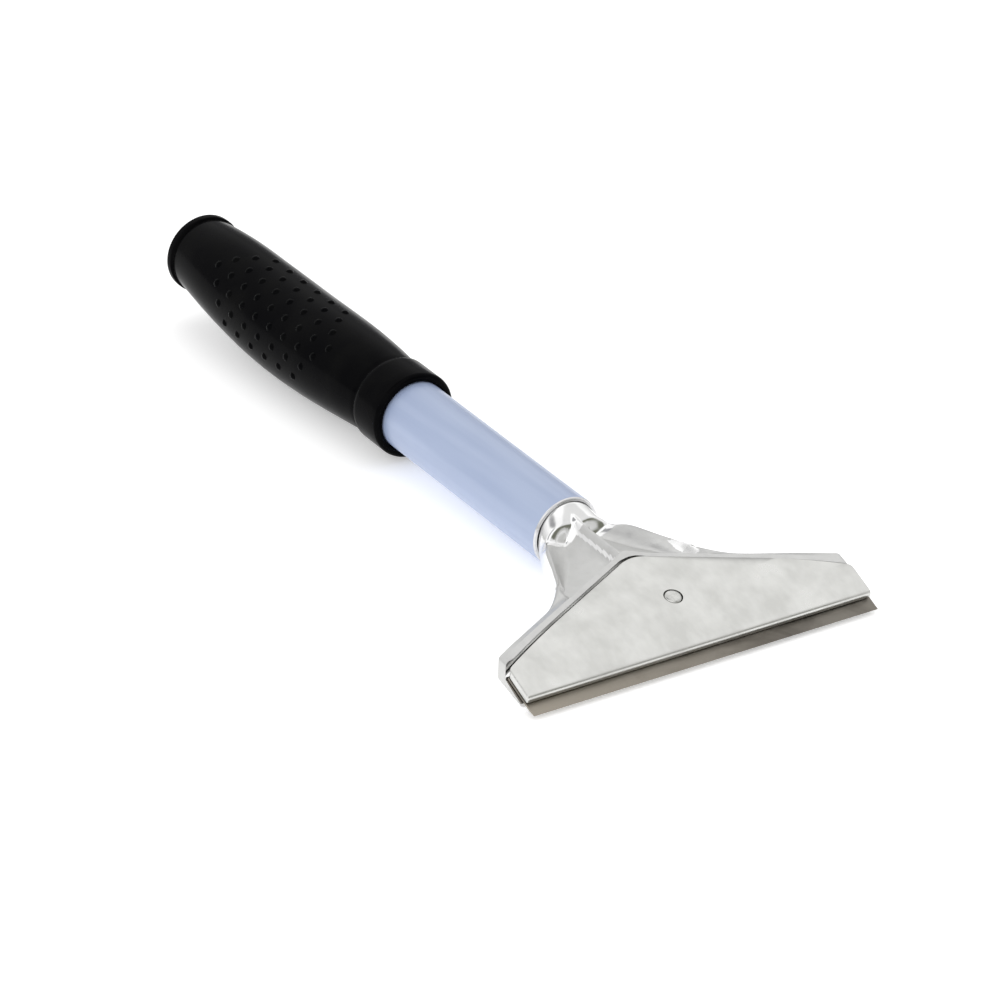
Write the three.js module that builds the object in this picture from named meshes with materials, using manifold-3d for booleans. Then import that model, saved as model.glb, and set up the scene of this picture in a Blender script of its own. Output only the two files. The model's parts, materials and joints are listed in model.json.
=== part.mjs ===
// Algae scraper: a long steel blade clamped across a cast head, on a coated tube with a soft grip.
// Tool frame: origin at the centre of the tube's mouth, +Y along the tube to the grip, +X along the
// blade, +Z up. Millimetres. The last group tips the tool onto the surface that it lies on.
import * as THREE from 'three';
import { mergeVertices } from 'three/addons/utils/BufferGeometryUtils.js';
import Module from 'manifold-3d';

const wasm = await Module();
wasm.setup();

// ---- driving dimensions ----
const GAP = 0.3; // kept between pieces that touch
const FAR = 40; // reach of a cut that only has to run clear of its piece

const TUBE_RADIUS = 11.1;
const TUBE_WALL = 1.2;
const TUBE_LENGTH = 192;
const SPIGOT_LENGTH = 24;
const PIN_RADIUS = 2;
const PIN_Y = 13;
const PIN_DEPTH = 8;

const GRIP_START = 80.7;
const GRIP_END = 207;
const GRIP_BORE_END = 197;
const COLLAR_RADIUS = 13.8;
const COLLAR_LENGTH = 13;
const NECK_RADIUS = 12.9; // of the grip, just behind its collar
const BELLY_RADIUS = 15.3;
const BELLY_DROP = 1.7; // how far the belly hangs below the tube's axis
const TAIL_RADIUS = 12.1; // of the grip, just in front of its end flange
const FLANGE_RADIUS = 12.8;
const FLANGE_LENGTH = 3.6;
const TAIL_RISE = 0.5; // how far the end flange stands above the tube's axis
const DOT_RADIUS = 1.06;
const DOT_SINK = 0.36;
const DOT_PITCH = 8.15; // along the grip
const DOT_ROW_ANGLE = THREE.MathUtils.degToRad(19);
const DOT_ROWS = [6, 7, 8, 9, 8, 7, 6];
const DOT_CENTRE_Y = 147;
const DOT_FACING = THREE.MathUtils.degToRad(43); // first patch, from the top towards -X

const BLADE_LENGTH = 116.8;
const BLADE_DEPTH = 14.2;
const BLADE_THICKNESS = 0.7;
const BLADE_REACH = 4.2; // of the cutting edge in front of the plate's lip
const BLADE_BEVEL = 2.6;
const BLADE_LAND = 0.12;
const BLADE_SHIFT = 0.5; // the blade sits a little to one side in its seat

const PLATE_THICKNESS = 2.4;
const PLATE_HALF_WIDTH = 58.3;
const PLATE_APEX_Y = -30.7;
const PLATE_SHOULDER_Y = -57.7;
const APEX_ROUNDING = 5;
const LIP = new THREE.Vector2(-67.9, -2.2); // top of the plate's front lip: y, z
const STRIP_LENGTH = 13.2;
const STRIP_PITCH = THREE.MathUtils.degToRad(22);
const BEND_RADIUS = 40;
const HEEL_PITCH = THREE.MathUtils.degToRad(8.5);
const HEEL_LENGTH = 20;
const PLATE_CLEARANCE = 0.8; // around the plate, in the head's recess
const PLATE_SHIFT = 0.35; // the plate sits a little to one side in its recess

const STUD_X = 1.4;
const STUD_Y = -50.9;
const STUD_HEAD_RADIUS = 2.65;
const STUD_RADIUS = 2.4;
const STUD_PROUD = 0.3;
const STUD_LENGTH = 11.4; // below the plate's top face
const NUT_ACROSS_FLATS = 8;
const NUT_HEIGHT = 2.7;
const NUT_BORE = 2.75;
const WASHER_RADIUS = 5;
const WASHER_THICKNESS = 0.8;
const SPRING_RADIUS = 4.4;
const SPRING_THICKNESS = 1;
const STUD_HOLE_RADIUS = 2.9;
const BOSS_RADIUS = 6.5;
const WEB = 2.6; // head's wall under the plate, at the stud

const HEAD_FRONT_Y = -65.4;
const HEAD_BOTTOM = -3.9;
const HEAD_FRONT_BOTTOM = -6.5;
const RIM_TOP = 3.4;
const RIM_WIDTH = 2.6;
const END_REAR = new THREE.Vector2(58.2, -52.9); // end of the head: x, y
const END_FRONT = new THREE.Vector2(58.9, HEAD_FRONT_Y);
const LEDGE_WIDTH = 2.2; // frames the plate's recess on its tube side
const RIDGE_HALF_WIDTH = 2.4;
const RIDGE_TOP = 6.3;
const POCKET_FLOOR = 1;
const TRAY_TOP = -1.5;
const TRAY_HALF_WIDTH = 34;
const SPIGOT_RADIUS = TUBE_RADIUS - TUBE_WALL - GAP;
const NECK_WAIST = 6.6;
const NECK_WAIST_Y = -3.8;
const NECK_END_Y = -17;

const ROUND = 36; // facets around a large round
const FINE = 28; // facets around a small round

// ---- materials ----
const material = (color, roughness, metalness) => new THREE.MeshStandardMaterial({ color, roughness, metalness });
const castMetal = material(0xc9cac8, 0.25, 1);
const plateMetal = material(0xcfd0cc, 0.35, 1);
const bladeSteel = material(0x6f695f, 0.45, 1);
const zincSteel = material(0xb9bab6, 0.35, 1);
const blueCoat = material(0xa9b9e0, 0.35, 0);
const blackGrip = material(0x0c0c0d, 0.35, 0);

// ---- solids ----
function solid(geometry) {
  const bare = geometry.clone();
  bare.deleteAttribute('normal');
  bare.deleteAttribute('uv');
  const welded = mergeVertices(bare, 1e-5);
  const vertProperties = new Float32Array(welded.attributes.position.array);
  const triVerts = new Uint32Array(welded.index.array);
  return new wasm.Manifold(new wasm.Mesh({ numProp: 3, vertProperties, triVerts }));
}

function piece(name, body, look) {
  const mesh = body.getMesh();
  const geometry = new THREE.BufferGeometry();
  geometry.setAttribute('position', new THREE.BufferAttribute(mesh.vertProperties, 3));
  geometry.setIndex(new THREE.BufferAttribute(mesh.triVerts, 1));
  geometry.computeVertexNormals();
  const node = new THREE.Mesh(geometry, look);
  node.name = name;
  return node;
}

// A side view drawn in (y, z), made as wide as halfWidth to each side.
function acrossTool(shape, halfWidth) {
  const geometry = new THREE.ExtrudeGeometry(shape, { depth: 2 * halfWidth, bevelEnabled: false });
  geometry.translate(0, 0, -halfWidth);
  const turn = new THREE.Matrix4().makeBasis(
    new THREE.Vector3(0, 1, 0), new THREE.Vector3(0, 0, 1), new THREE.Vector3(1, 0, 0));
  return solid(geometry.applyMatrix4(turn));
}

// A plan view drawn in (x, y), standing from bottom to top.
function upright(shape, bottom, top, curveSegments = 12) {
  const geometry = new THREE.ExtrudeGeometry(shape, { depth: top - bottom, bevelEnabled: false, curveSegments });
  geometry.translate(0, 0, bottom);
  return solid(geometry);
}

// A profile of [radius, y] pairs turned about the tool's Y axis.
function turned(profile, facets) {
  return new THREE.LatheGeometry(profile.map(([r, y]) => new THREE.Vector2(r, y)), facets);
}

function ring(inner, outer, start, end, facets) {
  return turned([[inner, start], [outer, start], [outer, end], [inner, end], [inner, start]], facets);
}

function rod(radius, start, end, facets) {
  return turned([[0, start], [radius, start], [radius, end], [0, end]], facets);
}

// ---- the clamp plate's bent side view ----
const along = (pitch) => new THREE.Vector2(Math.cos(pitch), Math.sin(pitch));
const normalTo = (pitch) => new THREE.Vector2(-Math.sin(pitch), Math.cos(pitch));
const bendStart = LIP.clone().addScaledVector(along(STRIP_PITCH), STRIP_LENGTH);
const bendCentre = bendStart.clone().addScaledVector(normalTo(STRIP_PITCH), -BEND_RADIUS);

// The surface that lies `depth` below the plate's top face, from its lip to its heel.
function plateSurface(depth, steps = 5) {
  const points = [LIP.clone().addScaledVector(normalTo(STRIP_PITCH), -depth)];
  for (let i = 0; i <= steps; i += 1) {
    const pitch = THREE.MathUtils.lerp(STRIP_PITCH, HEEL_PITCH, i / steps);
    points.push(bendCentre.clone().addScaledVector(normalTo(pitch), BEND_RADIUS - depth));
  }
  points.push(points.at(-1).clone().addScaledVector(along(HEEL_PITCH), HEEL_LENGTH));
  return points;
}

// The plate seen from above, grown by `margin`; it runs on past its lip, which the side view trims.
function plateOutline(margin) {
  const rise = (PLATE_APEX_Y - PLATE_SHOULDER_Y) / PLATE_HALF_WIDTH;
  const apex = PLATE_APEX_Y + margin * Math.hypot(1, rise);
  const half = PLATE_HALF_WIDTH + margin;
  const slopeY = (x) => apex - rise * x;
  const shape = new THREE.Shape();
  shape.moveTo(-half, -FAR * 2);
  shape.lineTo(half, -FAR * 2);
  shape.lineTo(half, slopeY(half));
  shape.lineTo(APEX_ROUNDING, slopeY(APEX_ROUNDING));
  shape.quadraticCurveTo(0, apex, -APEX_ROUNDING, slopeY(APEX_ROUNDING));
  shape.lineTo(-half, slopeY(half));
  shape.closePath();
  return shape;
}

// Everything above the surface at `depth` below the plate's top face.
function abovePlateSurface(depth) {
  const surface = plateSurface(depth);
  const front = surface[0].clone().addScaledVector(along(STRIP_PITCH), -FAR);
  const back = surface.at(-1);
  const top = new THREE.Vector2(back.x, FAR);
  return acrossTool(new THREE.Shape([front, ...surface, top, new THREE.Vector2(front.x, FAR)]), FAR * 2);
}

// ---- the stud's axis, square to the plate where it goes through ----
const studPitch = Math.asin(Math.sin(STRIP_PITCH) - (STUD_Y - bendStart.x) / BEND_RADIUS);
const studTop = bendCentre.clone().addScaledVector(normalTo(studPitch), BEND_RADIUS);

// Turns a geometry made on the Y axis (y = distance below the plate's top face) onto the stud's axis.
function onStud(geometry) {
  const down = new THREE.Vector3(0, Math.sin(studPitch), -Math.cos(studPitch));
  const side = new THREE.Vector3(1, 0, 0);
  const frame = new THREE.Matrix4().makeBasis(side, down, side.clone().cross(down));
  frame.setPosition(STUD_X, studTop.x, studTop.y);
  return geometry.applyMatrix4(frame);
}

const webEnd = PLATE_THICKNESS + GAP + WEB;
const washerStart = webEnd + GAP;
const springStart = washerStart + WASHER_THICKNESS + GAP;
const nutStart = springStart + SPRING_THICKNESS + GAP;

// ---- blade ----
const edge = LIP.clone()
  .addScaledVector(along(STRIP_PITCH), -BLADE_REACH)
  .addScaledVector(normalTo(STRIP_PITCH), -PLATE_THICKNESS - GAP);
const bladeBack = normalTo(STRIP_PITCH).negate();
const bladeRear = (inset) => edge.clone().addScaledVector(along(STRIP_PITCH), BLADE_DEPTH + inset);

function makeBlade() {
  const rearTop = bladeRear(0);
  const rearBottom = rearTop.clone().addScaledVector(bladeBack, BLADE_THICKNESS);
  const heel = edge.clone().addScaledVector(along(STRIP_PITCH), BLADE_BEVEL)
    .addScaledVector(bladeBack, BLADE_THICKNESS);
  const land = edge.clone().addScaledVector(bladeBack, BLADE_LAND);
  const profile = new THREE.Shape([edge, land, heel, rearBottom, rearTop]);
  return piece('blade', acrossTool(profile, BLADE_LENGTH / 2).translate([BLADE_SHIFT, 0, 0]), bladeSteel);
}

// ---- clamp ----
function makeClampPlate() {
  const profile = new THREE.Shape([...plateSurface(0), ...plateSurface(PLATE_THICKNESS).reverse()]);
  const studHole = solid(onStud(rod(STUD_HEAD_RADIUS + GAP, -FAR / 4, FAR / 4, FINE)));
  const plate = acrossTool(profile, PLATE_HALF_WIDTH + 1)
    .intersect(upright(plateOutline(0), -FAR, FAR, 4))
    .translate([PLATE_SHIFT, 0, 0])
    .subtract(studHole);
  return piece('clamp_plate', plate, plateMetal);
}

function makeClampStud() {
  const stud = turned([
    [0, -STUD_PROUD], [STUD_HEAD_RADIUS - 0.4, -STUD_PROUD], [STUD_HEAD_RADIUS, 0],
    [STUD_HEAD_RADIUS, PLATE_THICKNESS], [STUD_RADIUS, PLATE_THICKNESS + GAP],
    [STUD_RADIUS, STUD_LENGTH - 0.6], [STUD_RADIUS - 0.6, STUD_LENGTH], [0, STUD_LENGTH],
  ], FINE);
  return piece('clamp_stud', solid(onStud(stud)), zincSteel);
}

function makeFlatWasher() {
  const washer = ring(STUD_HOLE_RADIUS, WASHER_RADIUS, washerStart, washerStart + WASHER_THICKNESS, FINE);
  return piece('flat_washer', solid(onStud(washer)), zincSteel);
}

function makeSpringWasher() {
  const washer = ring(STUD_HOLE_RADIUS, SPRING_RADIUS, springStart, springStart + SPRING_THICKNESS, FINE);
  const split = new THREE.BoxGeometry(0.8, 4 * SPRING_THICKNESS, 3);
  split.rotateZ(Math.PI / 7);
  split.translate(0, springStart + SPRING_THICKNESS / 2, (STUD_HOLE_RADIUS + SPRING_RADIUS) / 2);
  return piece('spring_washer', solid(onStud(washer)).subtract(solid(onStud(split))), zincSteel);
}

function makeClampNut() {
  const corner = NUT_ACROSS_FLATS / Math.sqrt(3);
  const chamfer = corner - NUT_ACROSS_FLATS / 2;
  const end = nutStart + NUT_HEIGHT;
  const hexagon = rod(corner, nutStart, end, 6);
  const round = turned([
    [0, nutStart], [NUT_ACROSS_FLATS / 2, nutStart], [corner, nutStart + chamfer],
    [corner, end - chamfer], [NUT_ACROSS_FLATS / 2, end], [0, end],
  ], FINE);
  const bore = rod(NUT_BORE, nutStart - 1, end + 1, FINE);
  const nut = solid(onStud(hexagon)).intersect(solid(onStud(round))).subtract(solid(onStud(bore)));
  return piece('clamp_nut', nut, zincSteel);
}

// ---- head ----
// The flank from the neck to the end lug, as [x, y]; inset moves it towards the middle.
function headOutline(inset) {
  const flank = [[9.6, 0], [12.9, -6], [16.4, -13.2], [20.2, -22], [25, -30.8], [34.2, -39.6], [49.4, -48.4]]
    .map(([x, y]) => new THREE.Vector2(x - inset, y - inset * 0.4));
  const shape = new THREE.Shape();
  shape.moveTo(-flank[0].x, flank[0].y);
  shape.splineThru([...flank].slice(1).map((p) => new THREE.Vector2(-p.x, p.y)));
  shape.lineTo(-(END_REAR.x - inset), END_REAR.y - inset);
  shape.lineTo(-(END_FRONT.x - inset), END_FRONT.y + inset);
  shape.lineTo(END_FRONT.x - inset, END_FRONT.y + inset);
  shape.lineTo(END_REAR.x - inset, END_REAR.y - inset);
  shape.lineTo(flank.at(-1).x, flank.at(-1).y);
  shape.splineThru([...flank].slice(0, -1).reverse());
  shape.closePath();
  return shape;
}

// The slab that carries the rim, with its underside rising from the front edge.
function headSlab() {
  const side = new THREE.Shape([
    new THREE.Vector2(HEAD_FRONT_Y - 1, FAR), new THREE.Vector2(HEAD_FRONT_Y - 1, HEAD_FRONT_BOTTOM),
    new THREE.Vector2(HEAD_FRONT_Y + 14, HEAD_BOTTOM), new THREE.Vector2(1, HEAD_BOTTOM),
    new THREE.Vector2(1, FAR),
  ]);
  const crown = upright(headOutline(0), -FAR, RIM_TOP, 2);
  return crown.intersect(acrossTool(side, FAR * 2)).subtract(abovePlateSurface(GAP));
}

// The raised ledge that frames the plate, and the ridge from it to the neck.
function headIsland() {
  const ledge = upright(plateOutline(PLATE_CLEARANCE + LEDGE_WIDTH), 0, FAR, 4)
    .intersect(upright(headOutline(0), 0, FAR, 2))
    .subtract(abovePlateSurface(GAP));
  const ridge = new THREE.BoxGeometry(2 * RIDGE_HALF_WIDTH, -PLATE_APEX_Y - 4, RIDGE_TOP);
  ridge.translate(0, PLATE_APEX_Y / 2, RIDGE_TOP / 2);
  return ledge.add(solid(ridge));
}

// A pocket to each side of the ridge, between the rim and the ledge.
function headPockets() {
  const inner = upright(headOutline(RIM_WIDTH + 1.5), POCKET_FLOOR, FAR, 2);
  const keepLedge = upright(plateOutline(PLATE_CLEARANCE + LEDGE_WIDTH), -FAR, FAR, 4);
  const keepRidge = new THREE.BoxGeometry(2 * RIDGE_HALF_WIDTH, FAR * 4, FAR * 4);
  const keepNeck = new THREE.BoxGeometry(FAR * 2, FAR, FAR * 2);
  keepNeck.translate(0, FAR / 2 - 8, 0);
  return inner.subtract(keepLedge).subtract(solid(keepRidge)).subtract(solid(keepNeck));
}

// The neck narrows from the spigot into the slab.
function headNeck() {
  return solid(turned([
    [0, NECK_END_Y], [NECK_WAIST - 2, NECK_END_Y], [NECK_WAIST, NECK_WAIST_Y], [SPIGOT_RADIUS, -0.6],
    [SPIGOT_RADIUS, SPIGOT_LENGTH - 1.5], [SPIGOT_RADIUS - 1.5, SPIGOT_LENGTH], [0, SPIGOT_LENGTH],
  ], ROUND));
}

// The step that the blade lies in: a flat seat with a stop wall behind the blade.
function bladeRebate() {
  const seatDepth = BLADE_THICKNESS + GAP;
  const stop = bladeRear(GAP).addScaledVector(bladeBack, seatDepth);
  const front = stop.clone().addScaledVector(along(STRIP_PITCH), -FAR);
  const side = new THREE.Shape([
    front, stop, stop.clone().addScaledVector(bladeBack, -seatDepth - 1), new THREE.Vector2(front.x, FAR),
  ]);
  return acrossTool(side, FAR * 2);
}

// The hollow under the head, left open below; its wall around the edge stays.
function headTray() {
  const tray = upright(headOutline(RIM_WIDTH + 1.4), -FAR, TRAY_TOP, 2);
  const reach = new THREE.BoxGeometry(2 * TRAY_HALF_WIDTH, -PLATE_APEX_Y + 4, FAR * 2);
  reach.translate(0, PLATE_APEX_Y - 2.6, 0);
  return tray.intersect(solid(reach));
}

function makeHead() {
  const boss = solid(onStud(rod(BOSS_RADIUS, PLATE_THICKNESS + GAP + 0.5, webEnd, ROUND)));
  const spotFace = solid(onStud(rod(BOSS_RADIUS + GAP, webEnd, FAR, ROUND)));
  const studHole = solid(onStud(rod(STUD_HOLE_RADIUS, 0, FAR, FINE)));
  const plateRecess = upright(plateOutline(PLATE_CLEARANCE), -FAR, FAR, 4)
    .intersect(abovePlateSurface(PLATE_THICKNESS + GAP));
  const pinHole = new THREE.CylinderGeometry(PIN_RADIUS + GAP, PIN_RADIUS + GAP, PIN_DEPTH, FINE);
  pinHole.rotateX(Math.PI / 2);
  pinHole.translate(0, PIN_Y, GAP + PIN_DEPTH / 2 - TUBE_RADIUS);
  const head = headSlab()
    .add(headIsland())
    .subtract(headPockets())
    .add(headNeck())
    .subtract(headTray())
    .add(boss)
    .subtract(plateRecess)
    .subtract(bladeRebate())
    .subtract(spotFace)
    .subtract(studHole)
    .subtract(solid(pinHole));
  return piece('head_casting', head, castMetal);
}

// ---- handle ----
function makeTube() {
  const tube = solid(ring(TUBE_RADIUS - TUBE_WALL, TUBE_RADIUS, 0, TUBE_LENGTH, ROUND));
  const hole = new THREE.CylinderGeometry(PIN_RADIUS + GAP, PIN_RADIUS + GAP, PIN_DEPTH, FINE);
  hole.rotateX(Math.PI / 2);
  hole.translate(0, PIN_Y, -TUBE_RADIUS);
  return piece('handle_tube', tube.subtract(solid(hole)), blueCoat);
}

function makeTubePin() {
  const length = PIN_DEPTH - GAP;
  const pin = new THREE.CylinderGeometry(PIN_RADIUS, PIN_RADIUS, length, FINE);
  pin.rotateX(Math.PI / 2);
  pin.translate(0, PIN_Y, length / 2 - TUBE_RADIUS + 0.1);
  return piece('tube_pin', solid(pin), zincSteel);
}

const bellyStart = GRIP_START + COLLAR_LENGTH + 2.4;
const bellyEnd = GRIP_END - FLANGE_LENGTH;

// How far the grip's middle drops below the tube's axis at y; its tail rises again past the axis.
function bellyDrop(y) {
  const share = THREE.MathUtils.clamp((y - bellyStart) / (bellyEnd - bellyStart), 0, 1);
  return BELLY_DROP * Math.sin(Math.PI * share) ** 2 - TAIL_RISE * THREE.MathUtils.smoothstep(share, 0.6, 1);
}

const gripCurve = new THREE.SplineCurve([
  [NECK_RADIUS, bellyStart], [14, 108], [15, 126], [BELLY_RADIUS, 150], [14.9, 168], [13.9, 186],
  [TAIL_RADIUS, bellyEnd],
].map(([r, y]) => new THREE.Vector2(r, y)));

function gripRadius(y) {
  const curve = gripCurve.getPoints(60);
  const next = curve.findIndex((p) => p.y >= y);
  const [a, b] = [curve[next - 1], curve[next]];
  return THREE.MathUtils.mapLinear(y, a.y, b.y, a.x, b.x);
}

function gripBody() {
  const profile = new THREE.Path();
  profile.moveTo(0, GRIP_START);
  profile.lineTo(COLLAR_RADIUS - 1.4, GRIP_START);
  profile.quadraticCurveTo(COLLAR_RADIUS, GRIP_START, COLLAR_RADIUS, GRIP_START + 1.6);
  profile.lineTo(COLLAR_RADIUS, GRIP_START + COLLAR_LENGTH);
  profile.quadraticCurveTo(COLLAR_RADIUS, GRIP_START + COLLAR_LENGTH + 1.4, NECK_RADIUS, bellyStart);
  gripCurve.getPoints(14).slice(1).forEach((p) => profile.lineTo(p.x, p.y));
  profile.lineTo(FLANGE_RADIUS, bellyEnd + 0.7);
  profile.lineTo(FLANGE_RADIUS, GRIP_END - 1.2);
  profile.quadraticCurveTo(FLANGE_RADIUS, GRIP_END, FLANGE_RADIUS - 1.4, GRIP_END);
  profile.lineTo(0, GRIP_END);
  const body = new THREE.LatheGeometry(profile.getPoints(3), ROUND);
  const position = body.attributes.position;
  for (let i = 0; i < position.count; i += 1) {
    position.setZ(i, position.getZ(i) - bellyDrop(position.getY(i)));
  }
  return solid(body);
}

// One raised dot on the grip, at y and at an angle from the top towards -X.
function gripDot(y, angle) {
  const out = new THREE.Vector3(-Math.sin(angle), 0, Math.cos(angle));
  const dot = new THREE.SphereGeometry(DOT_RADIUS, 6, 3);
  dot.applyQuaternion(new THREE.Quaternion().setFromUnitVectors(new THREE.Vector3(0, 1, 0), out));
  const centre = out.multiplyScalar(gripRadius(y) - DOT_SINK);
  dot.translate(centre.x, y, centre.z - bellyDrop(y));
  return solid(dot);
}

// A patch of staggered rows, longest in the middle.
function gripDots(facing) {
  return DOT_ROWS.flatMap((count, row) => {
    const angle = facing + (row - (DOT_ROWS.length - 1) / 2) * DOT_ROW_ANGLE;
    return Array.from({ length: count }, (_, i) =>
      gripDot(DOT_CENTRE_Y + (i - (count - 1) / 2) * DOT_PITCH, angle));
  });
}

function makeGrip() {
  const dots = [...gripDots(DOT_FACING), ...gripDots(DOT_FACING + Math.PI)];
  const bore = solid(rod(TUBE_RADIUS + GAP, GRIP_START - 1, GRIP_BORE_END, ROUND));
  const grip = dots.reduce((body, dot) => body.add(dot), gripBody()).subtract(bore);
  return piece('grip_sleeve', grip, blackGrip);
}

// ---- assembly ----
const tool = new THREE.Group();
tool.add(
  makeHead(), makeBlade(), makeClampPlate(), makeClampStud(), makeFlatWasher(), makeSpringWasher(),
  makeClampNut(), makeTube(), makeTubePin(), makeGrip());

// The tool lies on the tube's mouth and on the dots under its belly.
const bellyLowest = BELLY_RADIUS + DOT_RADIUS - DOT_SINK + BELLY_DROP;
tool.rotation.x = Math.atan2(bellyLowest - TUBE_RADIUS, DOT_CENTRE_Y - DOT_PITCH / 2);

const scraper = new THREE.Group();
scraper.add(tool);
scraper.updateMatrixWorld(true);
const extent = new THREE.Box3().setFromObject(scraper, true);
tool.position.set(0, -(extent.min.y + extent.max.y) / 2, -extent.min.z);

export default scraper;
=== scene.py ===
"""Algae scraper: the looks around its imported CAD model, for Blender 4.5."""
import json
import math

import bpy
import numpy as np
from mathutils import Matrix, Vector


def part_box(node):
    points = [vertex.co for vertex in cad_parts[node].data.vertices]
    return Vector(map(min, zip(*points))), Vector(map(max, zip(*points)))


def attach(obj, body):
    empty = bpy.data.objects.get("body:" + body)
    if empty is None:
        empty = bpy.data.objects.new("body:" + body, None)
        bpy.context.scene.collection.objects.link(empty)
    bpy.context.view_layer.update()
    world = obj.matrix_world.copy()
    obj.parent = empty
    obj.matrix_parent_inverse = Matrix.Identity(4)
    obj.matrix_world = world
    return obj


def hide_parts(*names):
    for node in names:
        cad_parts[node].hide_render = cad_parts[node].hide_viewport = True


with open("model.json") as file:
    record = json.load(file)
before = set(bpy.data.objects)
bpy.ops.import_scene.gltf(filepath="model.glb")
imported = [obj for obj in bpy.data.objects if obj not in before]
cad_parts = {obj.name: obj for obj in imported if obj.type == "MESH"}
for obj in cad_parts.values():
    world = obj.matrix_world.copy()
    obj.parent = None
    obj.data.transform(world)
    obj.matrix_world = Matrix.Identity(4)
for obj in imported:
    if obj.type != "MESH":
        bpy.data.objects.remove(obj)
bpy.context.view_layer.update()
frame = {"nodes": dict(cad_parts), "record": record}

# ---- driving dimensions, in millimetres of the tool's own frame ----
# Tool frame: origin at the centre of the tube's mouth, +Y along the tube, +X along the blade, +Z up.
MM = 0.001

# How far the shapes that are cut away reach, so that they go right through the head.
CUT_SIDE = 70
CUT_FRONT = -90
CUT_REAR = 60
CUT_REACH = 40
STUD_CUT_END = 30
SEAT_CUT_TOP = 30

TUBE_WALL = 1.2
TUBE_LENGTH = 192
BARE_END = 0.55  # uncoated metal at the tube's mouth
PIN_Y = 13
PIN_HOLE_RADIUS = 2.3
PIN_HOLE_TOP = -2.7
PIN_HOLE_BOTTOM = -15
TUBE_HOLE_TOP = -7

GRIP_START = 80.7
GRIP_BORE = 11.4
GRIP_BORE_END = 197
COLLAR_RADIUS = 13.8
COLLAR_LENGTH = 13
NECK_RADIUS = 12.9
BELLY_RADIUS = 15.3
BELLY_DROP = 1.7
TAIL_RADIUS = 12.1
FLANGE_RADIUS = 12.8
FLANGE_LENGTH = 3.6
TAIL_RISE = 0.5
GRIP_TRIM = 0.02  # keeps the grip's end inside the model's box
DOT_RADIUS = 1.2
DOT_HEIGHT = 0.68
DOT_PITCH = 8.15
DOT_ROW_ANGLE = math.radians(19)
DOT_ROWS = (6, 7, 8, 9, 8, 7, 6)
DOT_FACING = math.radians(43)

BLADE_THICKNESS = 0.7
BLADE_DEPTH = 14.2
BLADE_REACH = 4.2
BLADE_BEVEL = 2.6
BLADE_LAND = 0.12
BLADE_SHIFT = 0.5
NICK = 0.05

PLATE_THICKNESS = 2.4
PLATE_SHIFT = 0.35
PLATE_PROUD = 0.55  # the plate stands over the head's ledge on its +X side
APEX_Y = -30.7
SHOULDER_Y = -57.7
APEX_ROUNDING = 5
SHOULDER_ROUNDING = 0.6
LIP = (-67.9, -2.2)
STRIP_LENGTH = 13.2
STRIP_PITCH = math.radians(22)
BEND_RADIUS = 40
HEEL_PITCH = math.radians(8.5)
LIP_ROUNDING = 1.2
PLATE_EDGE = 0.35
PLATE_CLEARANCE = 0.8
STUD_X = 1.4
STUD_Y = -50.9
STUD_RADIUS = 2.6
STUD_FIT = 0.24
STUD_BORE_RADIUS = 2.9  # in the head
SPOT_FACE_RADIUS = 6.8
SHANK_RADIUS = 2.4
THREAD_DEPTH = 0.16
THREAD_PITCH = 0.8
SEAT_GAP = 0.3  # between the plate, the blade and the head

SPIGOT_RADIUS = 9.75
SPIGOT_LENGTH = 24
FLANK = ((9.75, 0), (12.9, -6), (16.4, -13.2), (20.2, -22), (25, -30.8), (34.2, -39.6), (49.4, -48.4))
END_REAR = (58.2, -52.9)
END_FRONT = (58.8, -65.3)
HEAD_BOTTOM = -3.9
HEAD_FRONT_BOTTOM = -6.4
STAR = (-3.3, 6.6)  # where the neck's facets meet the ridge: y, z
RIM_TOP = 3.3
WAIST_RISE = 1.1  # the rim stands higher between the neck and the plate's ends
NECK_BLEND = 3
RIM_ROUNDING = 2.2
END_ROUNDING = 0.8
RIM_WIDTH = 1.5
NECK_SLOPE = 1.0
WIDE_Y = -30  # in front of here the head is wide, and a row's run inwards counts for less
WIDE_SHARE = 0.55
VALLEY_Y = (3, 7.9, 16.9, 25.2, 31.5, 37)
VALLEY_X = (2.9, 5.4, 10.4, 16.6, 22.5, 29)
VALLEY_FLOOR = 0.9
RIDGE_BASE = 2.4
RIDGE_TOP = 6.6
RIDGE_SLOPE = 1.6
RIDGE_BLEND = 1.6
LEDGE_WIDTH = 1.7
WEB = 2.6  # the head's wall under the plate, at the stud
TRAY_TOP = -1.5
TRAY_REAR = -15.95
TRAY_FRONT = -50.65
TRAY_HALF_WIDTH = 34
TRAY_WALL = 4

# ---- where the tool lies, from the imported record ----
mounts = {m["name"]: m for m in frame["record"]["mounts"]}
AXIS = Vector(mounts["butt_end"]["axis"])
END = Vector(mounts["butt_end"]["pos_m"])
UP = Vector((1, 0, 0)).cross(AXIS)
tube_low, tube_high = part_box("handle_tube")
TUBE_RADIUS = (tube_high.x - tube_low.x) / 2 / MM
END -= UP * TAIL_RISE * MM
MOUTH = END + AXIS * ((tube_low.y + TUBE_RADIUS * MM * AXIS.z - END.y) / AXIS.y)
TO_ROW = Matrix.Translation(MOUTH) @ Matrix((
    (1, AXIS.x, UP.x, 0), (0, AXIS.y, UP.y, 0), (0, AXIS.z, UP.z, 0), (0, 0, 0, 1))) @ Matrix.Scale(MM, 4)
GRIP_END = (END - MOUTH).length / MM - GRIP_TRIM
DOT_CENTRE_Y = (Vector(mounts["hand_grip"]["pos_m"]) - MOUTH).length / MM
blade_low, blade_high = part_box("blade")
BLADE_HALF = (blade_high.x - blade_low.x) / 2 / MM
plate_low, plate_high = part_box("clamp_plate")
PLATE_HALF = (plate_high.x - plate_low.x) / 2 / MM


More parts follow.
